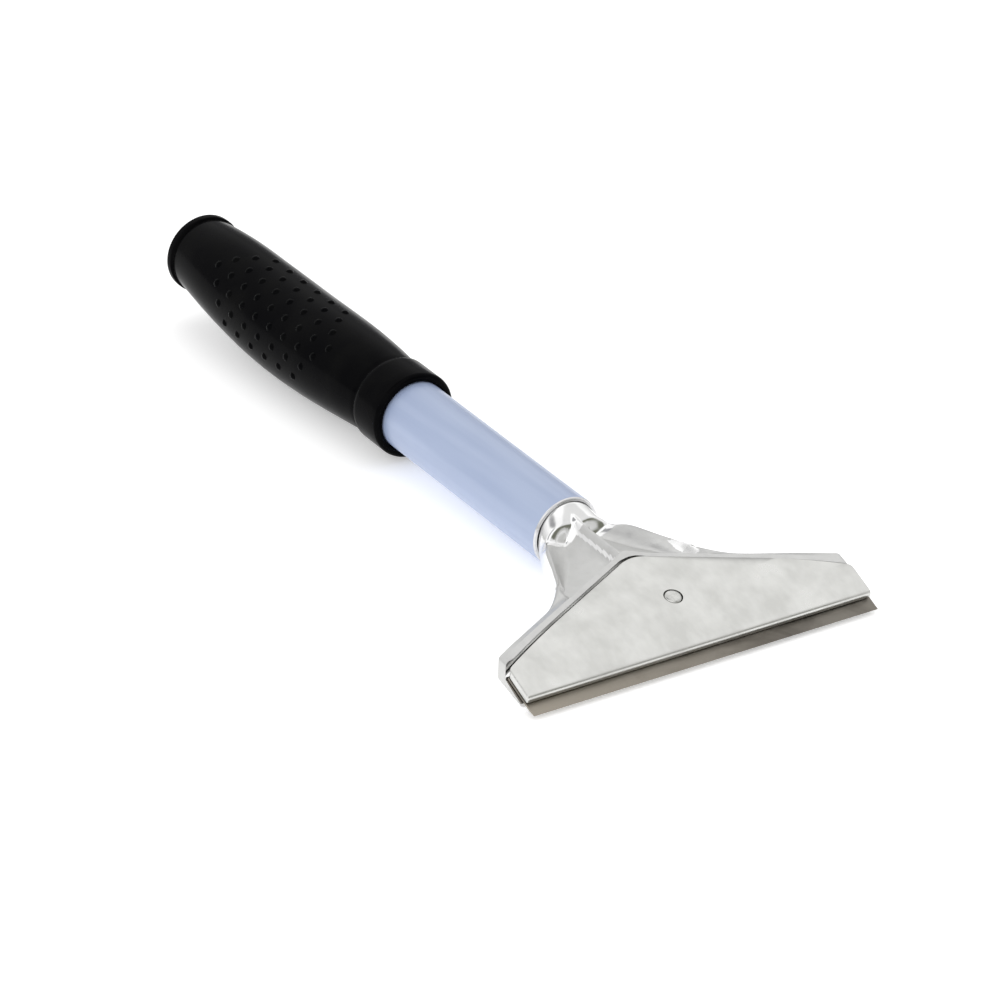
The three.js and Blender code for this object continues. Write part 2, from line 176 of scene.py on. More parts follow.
# ---- helpers ----
def ramp(x, low, high):
    """0 below low, 1 above high, smooth between; low may be above high."""
    t = np.clip((np.asarray(x, float) - low) / (high - low), 0, 1)
    return t * t * (3 - 2 * t)


def spline(points, samples):
    """Points along a Catmull-Rom curve through the given ones."""
    p = np.array(points, float)
    p = np.vstack([2 * p[0] - p[1], p, 2 * p[-1] - p[-2]])
    t = np.linspace(0, len(points) - 1, samples)
    i = np.minimum(t.astype(int), len(points) - 2)
    f = (t - i)[:, None]
    a, b, c, d = (p[i + k] for k in range(4))
    return 0.5 * (2 * b + (c - a) * f + (2 * a - 5 * b + 4 * c - d) * f**2 + (3 * b - a - 3 * c + d) * f**3)


def arc(centre, radius, start, end, count):
    """Points on an arc, between two angles in degrees."""
    angles = np.radians(np.linspace(start, end, count))
    return [(centre[0] + radius * math.cos(a), centre[1] + radius * math.sin(a)) for a in angles]


def build(name, verts, faces, materials, pick=None, crease=40):
    """A mesh object from tool-frame millimetres. pick(centre, normal) gives each face's material slot."""
    mesh = bpy.data.meshes.new(name)
    mesh.from_pydata([tuple(v) for v in verts], [], [tuple(f) for f in faces])
    for material in materials:
        mesh.materials.append(material)
    if pick:
        for polygon in mesh.polygons:
            polygon.material_index = pick(polygon.center, polygon.normal)
    mesh.transform(TO_ROW)
    mesh.validate()
    mesh.shade_smooth()
    mesh.set_sharp_from_angle(angle=math.radians(crease))
    piece = bpy.data.objects.new(name, mesh)
    bpy.context.scene.collection.objects.link(piece)
    return piece


def loft(sections, cap=True):
    """Closed sections of equal length, joined in order."""
    count = len(sections[0])
    verts = np.vstack(sections)
    faces = []
    for i in range(len(sections) - 1):
        a, b = i * count, (i + 1) * count
        faces += [(a + j, a + (j + 1) % count, b + (j + 1) % count, b + j) for j in range(count)]
    if cap:
        faces.append(tuple(reversed(range(count))))
        faces.append(tuple(range((len(sections) - 1) * count, len(sections) * count)))
    return verts, faces


def lathe(profile, facets, drop=None):
    """[radius, y] pairs turned about the tube's axis. drop(y) lowers the rings wider than the grip's bore."""
    angles = np.linspace(0, 2 * math.pi, facets, endpoint=False)
    rings = []
    for r, y in profile:
        z = -drop(y) if drop and r > GRIP_BORE else 0
        rings.append(np.c_[r * np.sin(angles), np.full(facets, y), z + r * np.cos(angles)])
    return rings


def turned(name, profile, facets, materials, pick=None, drop=None, closed=False, crease=40):
    """A lathed piece. closed says that the profile is a loop, so that the piece is a tube."""
    rings = lathe(profile, facets, drop)
    if closed:
        rings.append(rings[0])
        verts, faces = loft(rings, cap=False)
        last = (len(rings) - 1) * facets
        faces = [tuple(v - last if v >= last else v for v in face) for face in faces]
        verts = verts[:last]
    else:
        verts, faces = loft(rings)
    return build(name, verts, faces, materials, pick, crease)


def cut(piece, cutter, operation="DIFFERENCE"):
    """Takes cutter's shape out of piece. The cutter's faces have to point outwards, or nothing is cut."""
    modifier = piece.modifiers.new("cut", "BOOLEAN")
    modifier.operation = operation
    modifier.solver = "EXACT"
    modifier.object = cutter
    depsgraph = bpy.context.evaluated_depsgraph_get()
    mesh = bpy.data.meshes.new_from_object(piece.evaluated_get(depsgraph))
    piece.modifiers.clear()
    old = piece.data
    piece.data = mesh
    mesh.name = old.name
    bpy.data.meshes.remove(old)
    bpy.data.objects.remove(cutter)


def prism(name, outline, place, low, high):
    """A closed outline pushed from low to high, each corner put in space by place(a, b, level).
    It has to run anticlockwise as seen from the high side."""
    count = len(outline)
    verts = [place(a, b, level) for level in (low, high) for a, b in outline]
    faces = [tuple(reversed(range(count))), tuple(range(count, 2 * count))]
    faces += [(i, (i + 1) % count, count + (i + 1) % count, count + i) for i in range(count)]
    return build(name, verts, faces, [])


# ---- materials ----
class Look:
    """A material's node tree, with short calls for the nodes that every look here uses.
    The colour and roughness it starts with stand until a node drives them."""

    def __init__(self, name, color, roughness, metallic=0.0, **sockets):
        self.material = bpy.data.materials.new(name)
        self.material.use_nodes = True
        self.tree = self.material.node_tree
        self.shader = self.tree.nodes["Principled BSDF"]
        self.set("Base Color", (*color, 1))
        self.set("Roughness", roughness)
        self.set("Metallic", metallic)
        for key, value in sockets.items():
            self.set(key.replace("_", " "), value)
        self.place = self.tree.nodes.new("ShaderNodeTexCoord").outputs["Object"]

    def set(self, socket, value):
        self.shader.inputs[socket].default_value = value

    def link(self, a, b):
        self.tree.links.new(a, b)

    def mapping(self, scale, turn=(0, 0, 0)):
        node = self.tree.nodes.new("ShaderNodeMapping")
        node.inputs["Scale"].default_value = scale
        node.inputs["Rotation"].default_value = turn
        self.link(self.place, node.inputs["Vector"])
        return node.outputs["Vector"]

    def noise(self, scale, detail=4, stretch=None, turn=(0, 0, 0), roughness=0.5, distortion=0.0):
        node = self.tree.nodes.new("ShaderNodeTexNoise")
        node.inputs["Scale"].default_value = scale
        node.inputs["Detail"].default_value = detail
        node.inputs["Roughness"].default_value = roughness
        node.inputs["Distortion"].default_value = distortion
        self.link(self.mapping(stretch, turn) if stretch else self.place, node.inputs["Vector"])
        return node.outputs["Fac"]

    def split(self, axis):
        node = self.tree.nodes.new("ShaderNodeSeparateXYZ")
        self.link(self.place, node.inputs["Vector"])
        return node.outputs[axis]

    def levels(self, source, low, high, out_low, out_high):
        node = self.tree.nodes.new("ShaderNodeMapRange")
        for key, value in zip(("From Min", "From Max", "To Min", "To Max"), (low, high, out_low, out_high)):
            node.inputs[key].default_value = value
        self.link(source, node.inputs["Value"])
        return node.outputs["Result"]

    def math(self, kind, a, b):
        node = self.tree.nodes.new("ShaderNodeMath")
        node.operation = kind
        for value, socket in zip((a, b), node.inputs):
            if hasattr(value, "links"):
                self.link(value, socket)
            else:
                socket.default_value = value
        return node.outputs["Value"]

    def mix(self, share, color_a, color_b):
        node = self.tree.nodes.new("ShaderNodeMix")
        node.data_type = "RGBA"
        self.link(share, node.inputs["Factor"])
        for value, key in ((color_a, "A"), (color_b, "B")):
            socket = next(s for s in node.inputs if s.name == key and s.type == "RGBA")
            if hasattr(value, "links"):
                self.link(value, socket)
            else:
                socket.default_value = (*value, 1)
        return next(s for s in node.outputs if s.type == "RGBA")

    def bump(self, height, strength, distance):
        node = self.tree.nodes.new("ShaderNodeBump")
        node.inputs["Strength"].default_value = strength
        node.inputs["Distance"].default_value = distance
        self.link(height, node.inputs["Height"])
        self.link(node.outputs["Normal"], self.shader.inputs["Normal"])

    def drive(self, socket, source):
        self.link(source, self.shader.inputs[socket])


def coated_look():
    look = Look("blue_powder_coat", (0.34, 0.395, 0.535), 0.36, Coat_Weight=0.25, Coat_Roughness=0.18)
    cloud = look.noise(150, 3, stretch=(1, 0.05, 1))
    share = look.levels(cloud, 0.35, 0.65, 0, 1)
    look.drive("Base Color", look.mix(share, (0.335, 0.407, 0.592), (0.415, 0.490, 0.668)))
    look.drive("Roughness", look.levels(look.noise(260, 4), 0.3, 0.7, 0.31, 0.42))
    look.bump(look.noise(1500, 3), 0.12, 0.0002)
    return look.material


def bare_tube_look():
    look = Look("bare_tube_end", (0.72, 0.72, 0.73), 0.2, 1.0)
    look.drive("Roughness", look.levels(look.noise(900, 4), 0.3, 0.7, 0.14, 0.3))
    look.bump(look.noise(1200, 3, stretch=(1, 4, 1)), 0.15, 0.0001)
    return look.material


def grip_look():
    look = Look("black_soft_grip", (0.004, 0.004, 0.0045), 0.22, Specular_IOR_Level=0.02,
                Sheen_Weight=0.025, Sheen_Roughness=0.3)
    smudge = look.noise(90, 5, distortion=0.4)
    look.drive("Roughness", look.levels(smudge, 0.3, 0.7, 0.14, 0.27))
    share = look.levels(smudge, 0.4, 0.8, 0, 1)
    look.drive("Base Color", look.mix(share, (0.0015, 0.0015, 0.002), (0.004, 0.004, 0.004)))
    look.bump(look.noise(900, 4), 0.10, 0.00015)
    return look.material


def cast_look():
    look = Look("polished_casting", (0.68, 0.68, 0.68), 0.12, 1.0)
    cloud = look.noise(120, 5, distortion=0.3)
    look.drive("Roughness", look.levels(cloud, 0.35, 0.7, 0.08, 0.20))
    share = look.levels(cloud, 0.3, 0.75, 0, 1)
    look.drive("Base Color", look.mix(share, (0.92, 0.92, 0.915), (0.83, 0.83, 0.83)))
    polish = look.noise(160, 2, stretch=(1, 0.5, 1))
    look.bump(polish, 0.06, 0.0002)
    return look.material


def underside_look():
    look = Look("cast_skin", (0.62, 0.62, 0.61), 0.42, 1.0)
    look.drive("Roughness", look.levels(look.noise(300, 5), 0.3, 0.7, 0.36, 0.55))
    look.bump(look.noise(900, 5), 0.35, 0.0003)
    return look.material


def plate_look():
    look = Look("satin_plate", (0.64, 0.64, 0.62), 0.3, 1.0)
    mottle = look.noise(95, 5, distortion=0.3)
    fine = look.noise(420, 4, stretch=(1, 0.5, 1))
    both = look.math("ADD", look.math("MULTIPLY", mottle, 0.7), look.math("MULTIPLY", fine, 0.3))
    share = look.levels(both, 0.38, 0.62, 0, 1)
    look.drive("Base Color", look.mix(share, (0.60, 0.60, 0.578), (0.69, 0.69, 0.668)))
    look.drive("Roughness", look.levels(both, 0.35, 0.65, 0.40, 0.27))
    scratch = look.noise(500, 2, stretch=(0.06, 1, 1), turn=(0, 0, 0.35))
    cross = look.noise(420, 2, stretch=(1, 0.05, 1), turn=(0, 0, -0.6))
    look.bump(look.math("ADD", look.math("ADD", scratch, cross), mottle), 0.12, 0.00016)
    return look.material


def blade_look():
    look = Look("ground_blade", (0.28, 0.26, 0.235), 0.38, 1.0)
    streak = look.noise(160, 5, stretch=(0.12, 1, 1))
    blot = look.noise(55, 5, distortion=1.0)
    shade = look.mix(look.levels(blot, 0.4, 0.65, 0, 1), (0.21, 0.195, 0.17), (0.12, 0.11, 0.095))
    # Painted highlight: the blade's colour turns lighter towards its left end (-X), where the light catches
    # its top; the blots and streaks under it are its own tone.
    painted_left_highlight = look.mix(look.levels(look.split("X"), -0.055, 0.03, 0.6, 0), shade, (0.40, 0.36, 0.30))
    look.drive("Base Color", look.mix(look.levels(streak, 0.52, 0.68, 0, 0.7), painted_left_highlight, (0.38, 0.35, 0.31)))
    look.drive("Roughness", look.levels(streak, 0.3, 0.7, 0.30, 0.5))
    look.bump(look.noise(900, 3, stretch=(0.04, 1, 1)), 0.25, 0.0001)
    return look.material


def zinc_look():
    look = Look("zinc_plating", (0.74, 0.74, 0.72), 0.26, 1.0)
    cloud = look.noise(500, 4)
    share = look.levels(cloud, 0.4, 0.6, 0, 1)
    look.drive("Base Color", look.mix(share, (0.52, 0.52, 0.50), (0.66, 0.66, 0.64)))
    look.drive("Roughness", look.levels(cloud, 0.3, 0.7, 0.18, 0.36))
    look.bump(look.noise(1600, 3), 0.12, 0.0001)
    return look.material


def paper_look():
    look = Look("white_floor", (0.93, 0.93, 0.93), 0.85, Emission_Strength=0.38)
    look.set("Emission Color", (1, 1, 1, 1))
    look.drive("Roughness", look.levels(look.noise(30, 3), 0.3, 0.7, 0.8, 0.9))
    return look.material


COAT = coated_look()
BARE = bare_tube_look()
GRIP = grip_look()
CAST = cast_look()
SKIN = underside_look()
PLATE = plate_look()
BLADE = blade_look()
ZINC = zinc_look()


# ---- tube ----
def pin_cylinder(name, low, high, facets=40):
    """The hole for the pin that holds the head's spigot in the tube, between two heights."""
    angles = np.linspace(0, 2 * math.pi, facets, endpoint=False)
    x = PIN_HOLE_RADIUS * np.cos(angles)
    y = PIN_Y + PIN_HOLE_RADIUS * np.sin(angles)
    rings = [np.c_[x, y, np.full(facets, z)] for z in (low, high)]
    return build(name, *loft(rings), [])


def add_tube():
    inner = TUBE_RADIUS - TUBE_WALL
    bare = TUBE_RADIUS - 0.1
    profile = [(inner, 4), (inner, 0.35)] + arc((inner + 0.35, 0.35), 0.35, 180, 270, 4)
    profile += arc((bare - 0.3, 0.3), 0.3, 270, 360, 5)
    profile += [(bare, BARE_END - 0.08), (TUBE_RADIUS - 0.02, BARE_END), (TUBE_RADIUS, BARE_END + 0.12)]
    profile += [(TUBE_RADIUS, y) for y in (2, 20, 60, TUBE_LENGTH)]
    profile += [(inner, TUBE_LENGTH), (inner, 60), (inner, 20)]
    tube = turned("coated_tube", profile, 144, [COAT, BARE],
                  lambda c, n: 0 if c.y > BARE_END and Vector((c.x, c.z)).length > TUBE_RADIUS - 0.3 else 1,
                  closed=True)
    cut(tube, pin_cylinder("tube_pin_hole", PIN_HOLE_BOTTOM, TUBE_HOLE_TOP))
    tube.data.set_sharp_from_angle(angle=math.radians(40))
    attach(tube, "handle_and_head")
    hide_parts("handle_tube")


# ---- grip ----
BELLY_START = GRIP_START + COLLAR_LENGTH + 2.4
BELLY_END = GRIP_END - FLANGE_LENGTH


def belly_drop(y):
    """How far the grip's middle lies under the tube's axis at y; its tail rises a little."""
    share = min(max((y - BELLY_START) / (BELLY_END - BELLY_START), 0), 1)
    return BELLY_DROP * math.sin(math.pi * share) ** 2 - TAIL_RISE * float(ramp(share, 0.6, 1))


GRIP_CURVE = spline(((NECK_RADIUS, BELLY_START), (14, 108), (15, 126), (BELLY_RADIUS, 150), (14.9, 168),
                     (13.9, 186), (TAIL_RADIUS, BELLY_END)), 60)


def grip_radius(y):
    return float(np.interp(y, GRIP_CURVE[:, 1], GRIP_CURVE[:, 0]))


def add_grip():
    face = GRIP_START
    back = face + COLLAR_LENGTH
    profile = [(0, GRIP_BORE_END)]
    profile += [(GRIP_BORE, y) for y in (GRIP_BORE_END, face + 1.2, face + 0.7)]
    profile += arc((GRIP_BORE + 0.5, face + 0.5), 0.5, 180, 270, 4)
    profile += arc((COLLAR_RADIUS - 1.5, face + 1.5), 1.5, 275, 360, 8)
    profile += [(COLLAR_RADIUS, face + 5), (COLLAR_RADIUS, back - 1.6)]
    profile += arc((COLLAR_RADIUS - 0.9, back - 0.7), 0.9, 15, 80, 6)
    profile += [(NECK_RADIUS - depth, back + y) for depth, y in ((0.15, 0.6), (0.25, 1.1), (0.18, 1.7))]
    profile += [tuple(p) for p in GRIP_CURVE]
    profile += [(TAIL_RADIUS - 0.05, BELLY_END + 0.15)]
    profile += arc((FLANGE_RADIUS - 0.5, BELLY_END + 0.85), 0.5, 300, 360, 4)
    profile += arc((FLANGE_RADIUS - 1.3, GRIP_END - 1.3), 1.3, 0, 90, 8)
    profile += [(6, GRIP_END), (0, GRIP_END)]
    grip = turned("soft_grip", profile, 144, [GRIP], drop=belly_drop, crease=60)
    verts, faces = [], []
    for facing in (DOT_FACING, DOT_FACING + math.pi):
        for row, count in enumerate(DOT_ROWS):
            angle = facing + (row - (len(DOT_ROWS) - 1) / 2) * DOT_ROW_ANGLE
            for i in range(count):
                add_dot(verts, faces, DOT_CENTRE_Y + (i - (count - 1) / 2) * DOT_PITCH, angle)
    dots = build("grip_dots", verts, faces, [GRIP], crease=80)
    for piece in (grip, dots):
        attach(piece, "handle_and_head")
    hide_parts("grip_sleeve")


def add_dot(verts, faces, y, angle, around=14, rings=5):
    """A low dome with a soft foot."""
    out = Vector((-math.sin(angle), 0, math.cos(angle)))
    along = Vector((0, 1, 0))
    side = out.cross(along)
    base = out * (grip_radius(y) - 0.04) + Vector((0, y, -belly_drop(y)))
    start = len(verts)
    for k in range(rings):
        t = k / rings
        r = DOT_RADIUS * (1.12 - 0.12 * min(1, 4 * t)) * math.cos(t * math.pi / 2)
        h = DOT_HEIGHT * math.sin(t * math.pi / 2) ** 1.3
        for j in range(around):
            a = 2 * math.pi * j / around
            verts.append(base + out * h + (along * math.cos(a) + side * math.sin(a)) * r)
    verts.append(base + out * DOT_HEIGHT)
    for k in range(rings - 1):
        a, b = start + k * around, start + (k + 1) * around
        faces.extend((a + j, a + (j + 1) % around, b + (j + 1) % around, b + j) for j in range(around))
    last, top = start + (rings - 1) * around, len(verts) - 1
    faces.extend((last + j, last + (j + 1) % around, top) for j in range(around))
    faces.append(tuple(reversed(range(start, start + around))))


# ---- the clamp plate's bent side view ----
def along(pitch):
    return np.array((math.cos(pitch), math.sin(pitch)))


def normal_to(pitch):
    return np.array((-math.sin(pitch), math.cos(pitch)))


BEND_START = np.array(LIP) + along(STRIP_PITCH) * STRIP_LENGTH
BEND_CENTRE = BEND_START - normal_to(STRIP_PITCH) * BEND_RADIUS
BEND_END = BEND_CENTRE + normal_to(HEEL_PITCH) * BEND_RADIUS
BEND_LENGTH = BEND_RADIUS * (STRIP_PITCH - HEEL_PITCH)


def plate_point(run):
    """(y, z) and pitch at a distance from the lip along the plate's top face."""
    if run < STRIP_LENGTH:
        return np.array(LIP) + along(STRIP_PITCH) * run, STRIP_PITCH
    if run < STRIP_LENGTH + BEND_LENGTH:
        pitch = STRIP_PITCH - (run - STRIP_LENGTH) / BEND_RADIUS
        return BEND_CENTRE + normal_to(pitch) * BEND_RADIUS, pitch
    return BEND_END + along(HEEL_PITCH) * (run - STRIP_LENGTH - BEND_LENGTH), HEEL_PITCH


RUNS = np.linspace(-20, 90, 900)
SURFACE = np.array([plate_point(r)[0] for r in RUNS])
RISE = (APEX_Y - SHOULDER_Y) / PLATE_HALF


def surface_z(y):
    return np.interp(y, SURFACE[:, 0], SURFACE[:, 1])


def run_at(y):
    return float(np.interp(y, SURFACE[:, 0], RUNS))


def plate_width(y):
    """Half the plate's width at y, with its apex and shoulders rounded."""
    slope = (APEX_Y - y) / RISE
    if y > APEX_Y - RISE * APEX_ROUNDING:
        tip = 2 * (APEX_Y - y) / (RISE * APEX_ROUNDING) - 1
        return APEX_ROUNDING * math.sqrt(max(tip, 0))
    excess = (slope - PLATE_HALF) / SHOULDER_ROUNDING
    if excess <= -40:
        return slope
    return PLATE_HALF - SHOULDER_ROUNDING * math.log1p(math.exp(-min(excess, 40)))


def plate_section(y, top, bottom, inset=0.0):
    """One closed section across the plate; top and bottom are depths below its upper face.
    It narrows downwards, so that the plate's rear edges stand upright and clear the head."""
    point, pitch = plate_point(run_at(y))
    half = max(plate_width(y) - inset, 0.02)
    e = min(PLATE_EDGE, half * 0.5, (bottom - top) / 2.2)
    right = [(half - e, top)] + [(half - e + e * math.sin(a), top + e - e * math.cos(a))
                                 for a in np.radians((30, 60, 90))]
    right += [(half - e + e * math.cos(a), bottom - e + e * math.sin(a)) for a in np.radians((0, 30, 60, 90))]
    inner = [(half - e) * k for k in (0.75, 0.5, 0.25, 0, -0.25, -0.5, -0.75)]
    loop = right + [(x, bottom) for x in inner] + [(-x, d) for x, d in reversed(right)]
    loop += [(x, top) for x in reversed(inner)]
    down = -normal_to(pitch)
    narrowing = [min(max(plate_width(y + down[0] * d) - inset, 0.02) / half, 1) for _, d in loop]
    return np.array([(x * k + PLATE_SHIFT, *(point + down * d)) for (x, d), k in zip(loop, narrowing)])


def add_plate():
    sections = []
    for share in np.linspace(0, 1, 8):
        run = LIP_ROUNDING * (1 - math.cos(share * math.pi / 2))
        top = LIP_ROUNDING * (1 - math.sin(share * math.pi / 2))
        low = 0.4 - math.sqrt(max(0.4**2 - max(0.4 - run, 0) ** 2, 0))
        inset = 0.25 * (1 - share) ** 2
        sections.append(plate_section(plate_point(run)[0][0], top, PLATE_THICKNESS - low, inset))
    start = plate_point(LIP_ROUNDING)[0][0]
    for y in np.linspace(start, SHOULDER_Y - 3, 12)[1:]:
        sections.append(plate_section(y, 0, PLATE_THICKNESS))
    for y in np.linspace(SHOULDER_Y - 3, SHOULDER_Y + 3, 22)[1:]:
        sections.append(plate_section(y, 0, PLATE_THICKNESS))
    for y in np.linspace(SHOULDER_Y + 3, APEX_Y - RISE * APEX_ROUNDING, 24)[1:]:
        sections.append(plate_section(y, 0, PLATE_THICKNESS))
    for x in np.linspace(1, 0, 12)[1:]:
        y = APEX_Y - RISE * APEX_ROUNDING / 2 * (1 + x * x)
        sections.append(plate_section(y, 0, PLATE_THICKNESS))
    verts, faces = loft(sections)
    plate = build("bent_plate", verts, faces, [PLATE], crease=35)
    cut(plate, stud_cylinder("stud_hole", STUD_RADIUS + STUD_FIT, -3, PLATE_THICKNESS + 3))
    plate.data.set_sharp_from_angle(angle=math.radians(35))
    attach(plate, "clamp")
    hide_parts("clamp_plate")


# ---- stud ----
STUD_RUN = run_at(STUD_Y)
STUD_TOP, STUD_PITCH = plate_point(STUD_RUN)


def on_stud(r, angle, depth):
    """A point at a radius and angle round the stud, at a depth below the plate's upper face."""
    point = STUD_TOP - normal_to(STUD_PITCH) * depth + along(STUD_PITCH) * r * math.sin(angle)
    return STUD_X + r * math.cos(angle), *point


def stud_rings(profile, facets):
    """Rings down the stud, turned the way that makes their faces point outwards."""
    angles = -np.linspace(0, 2 * math.pi, facets, endpoint=False)
    return [np.array([on_stud(r, a, d) for a in angles]) for r, d in profile]


def stud_cylinder(name, radius, start, end):
    verts, faces = loft(stud_rings([(radius, start), (radius, end)], 64))
    return build(name, verts, faces, [])


def add_stud():
    profile = [(0.02, -0.28), (1.1, -0.27), (1.8, -0.22)]
    profile += [(STUD_RADIUS - 0.45, -0.12), (STUD_RADIUS - 0.15, 0.12), (STUD_RADIUS, 0.45)]
    profile += [(STUD_RADIUS, PLATE_THICKNESS), (SHANK_RADIUS, PLATE_THICKNESS + 0.3)]
    for depth in np.arange(PLATE_THICKNESS + 4, 10.8, 0.1):
        groove = THREAD_DEPTH * abs(((depth / THREAD_PITCH) % 1) * 2 - 1)
        profile.append((SHANK_RADIUS - groove, depth))
    profile += [(2.2, 10.9), (1.8, 11.4), (0.02, 11.4)]
    verts, faces = loft(stud_rings(profile, 64))
    stud = build("peened_stud", verts, faces, [ZINC], crease=50)
    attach(stud, "clamp")
    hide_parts("clamp_stud")


# ---- blade ----
def blade_edge():
    """The blade's edge in the side view (y, z), under the plate and in front of its lip."""
    below = PLATE_THICKNESS + SEAT_GAP
    return np.array(LIP) - along(STRIP_PITCH) * BLADE_REACH - normal_to(STRIP_PITCH) * below


def add_blade():
    rng = np.random.default_rng(7)
    back = -normal_to(STRIP_PITCH)
    forward = along(STRIP_PITCH)
    edge = blade_edge()
    xs = np.linspace(-BLADE_HALF, BLADE_HALF, 180) + BLADE_SHIFT
    nicks = np.abs(rng.normal(0, NICK / 2, len(xs)))
    nicks[[0, -1]] = 0
    sections = []
    for x, nick in zip(xs, nicks):
        tip = edge + forward * nick
        points = [
            tip + back * BLADE_LAND,
            edge + forward * BLADE_BEVEL + back * BLADE_THICKNESS,
            edge + forward * (BLADE_DEPTH - 0.15) + back * BLADE_THICKNESS,
            edge + forward * BLADE_DEPTH + back * (BLADE_THICKNESS - 0.15),
            edge + forward * BLADE_DEPTH + back * 0.15,
            edge + forward * (BLADE_DEPTH - 0.15),
            edge + forward * 1.1,
            edge + forward * (nick + 0.25) + back * 0.01,
            tip,
        ]
        sections.append(np.array([(x, *p) for p in points]))
    verts, faces = loft(sections)
    blade = build("ground_blade", verts, faces, [BLADE], crease=8)
    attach(blade, "blade_strip")
    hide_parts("blade")


# ---- head ----
def head_rows():
    """The rows of the head's skin: where each leaves the outline (x, y), and its y on the middle line."""
    flank = spline(FLANK + (END_REAR,), 150)
    outline = np.vstack([flank[:-1], np.linspace(END_REAR, END_FRONT, 110)])
    straight = ramp(outline[:, 0], SPIGOT_RADIUS, 26) * ramp(outline[:, 1], END_FRONT[1] + 0.5, -58)
    middle = outline[:, 1] + RISE * straight * outline[:, 0]
    middle = np.minimum.accumulate(middle)
    return outline, middle


def top_height(x, y, inside):
    """The head's upper face at (x, y); inside is how far in from the outline that is."""
    side = np.abs(x)
    neck = NECK_SLOPE * (y - STAR[0]) + STAR[1]
    rim = RIM_TOP + WAIST_RISE * ramp(y, -42, -28)
    meeting = np.clip(1 - np.abs(neck - rim) / NECK_BLEND, 0, 1)
    crown = np.minimum(np.maximum(neck, rim) + NECK_BLEND / 4 * meeting**2, SPIGOT_RADIUS)
    to_recess = (y + RISE * side - APEX_Y) / math.hypot(1, RISE) - PLATE_CLEARANCE
    flush = surface_z(y) - 0.05 - PLATE_PROUD * ramp(x, 1, 6)
    # Beside the plate, away from the middle, the rim comes down or up to the plate.
    strip = ramp(to_recess, 6.0, 0.5) * ramp(side, 22, 27) * ramp(inside, 0.4, 2.6)
    level = crown + (np.minimum(flush, crown + 2.6) - crown) * strip
    # The two pockets: a facet from the ridge down to the foot, then a cove up to the rim.
    foot = np.interp(-y, VALLEY_Y, VALLEY_X)
    facet = VALLEY_FLOOR + (RIDGE_BASE - VALLEY_FLOOR) * np.clip((foot - side) / (foot - 2.4), 0, 1)
    crest_at = side + inside - RIM_WIDTH
    cove = np.clip((side - foot) / np.maximum(crest_at - foot, 0.8), 0, 1) ** 1.7
    carved = ramp(y, STAR[0] - 1.0, STAR[0] - 3.4) * (1 - ramp(side, 21, 24.8))
    height = level + (facet + (level - facet) * cove - level) * carved
    # The ledge round the plate.
    ledge = ramp(to_recess, LEDGE_WIDTH + 0.9, LEDGE_WIDTH) * ramp(inside, 0.3, 1.6)
    height = height + (np.maximum(flush, height) - height) * ledge
    height = height + (np.minimum(flush, height) - height) * ramp(x, 30, 42)
    # The ridge from the neck to the plate's apex.
    ridge = RIDGE_TOP + 0.8 - RIDGE_SLOPE * np.sqrt(side**2 + 0.25)
    near = np.clip(1 - np.abs(ridge - height) / RIDGE_BLEND, 0, 1)
    return np.maximum(height, ridge) + RIDGE_BLEND / 4 * near**2


def bottom_height(y):
    slab = HEAD_BOTTOM + (HEAD_FRONT_BOTTOM - HEAD_BOTTOM) * np.clip((-51 - y) / 14, 0, 1)
    return slab + (-SPIGOT_RADIUS - slab) * ramp(y, -14, 0)


def head_section(x_out, y_out, y_mid, tops=240, bottoms=60, corner=7):
    """One closed row of the head's skin."""
    tau = np.linspace(-1, 1, tops)
    spread = np.sin(math.radians(80) * tau) / math.sin(math.radians(80))
    y_top = y_mid + (y_out - y_mid) * np.abs(spread)
    x_top = spread * x_out
    rounding = RIM_ROUNDING + (SPIGOT_RADIUS - RIM_ROUNDING) * float(ramp(y_out, -13, 0))
    if y_out <= END_REAR[1]:
        rounding = END_ROUNDING
    inside = (1 - np.abs(spread)) * x_out * (1.0 if y_out > WIDE_Y else WIDE_SHARE)
    z_top = top_height(x_top, y_top, inside)
    fall = np.clip(1 - inside / rounding, 0, 1)
    z_top = z_top - rounding * (1 - np.sqrt(1 - fall**2))
    low = float(bottom_height(y_out))
    low_round = 1.2 + (SPIGOT_RADIUS - 1.2) * float(ramp(y_out, -13, 0))
    upper = z_top[-1]
    lower = min(low + low_round, upper - 0.2)
    side = np.linspace(upper, lower, corner + 2)[1:-1]
    beta = np.linspace(1, -1, bottoms)
    spread_low = np.sin(math.radians(86) * beta) / math.sin(math.radians(86))
    y_low = y_mid + (y_out - y_mid) * np.abs(spread_low)
    from_edge = (1 - np.abs(spread_low)) * x_out
    rise = np.clip(1 - from_edge / low_round, 0, 1)
    z_low = bottom_height(y_low) + low_round * (1 - np.sqrt(1 - rise**2))
    z_low = np.minimum(z_low, lower)
    right = np.c_[np.full(corner, x_out), np.full(corner, y_out), side]
    left = np.c_[np.full(corner, -x_out), np.full(corner, y_out), side[::-1]]
    top = np.c_[x_top, y_top, z_top]
    under = np.c_[spread_low * x_out, y_low, z_low]
    return np.vstack([top, right, under, left])


def across(a, b, level):
    """A side-view corner (y, z) at x = level."""
    return level, a, b


def upright(a, b, level):
    """A plan-view corner (x, y) at z = level."""
    return a, b, level


def plate_surface(depth, start=-8, end=CUT_REAR):
    """Side-view points at a depth below the plate's upper face."""
    points = []
    for run in (start, *np.linspace(STRIP_LENGTH, STRIP_LENGTH + BEND_LENGTH, 12), end):
        point, pitch = plate_point(run)
        points.append(tuple(point - normal_to(pitch) * depth))
    return points


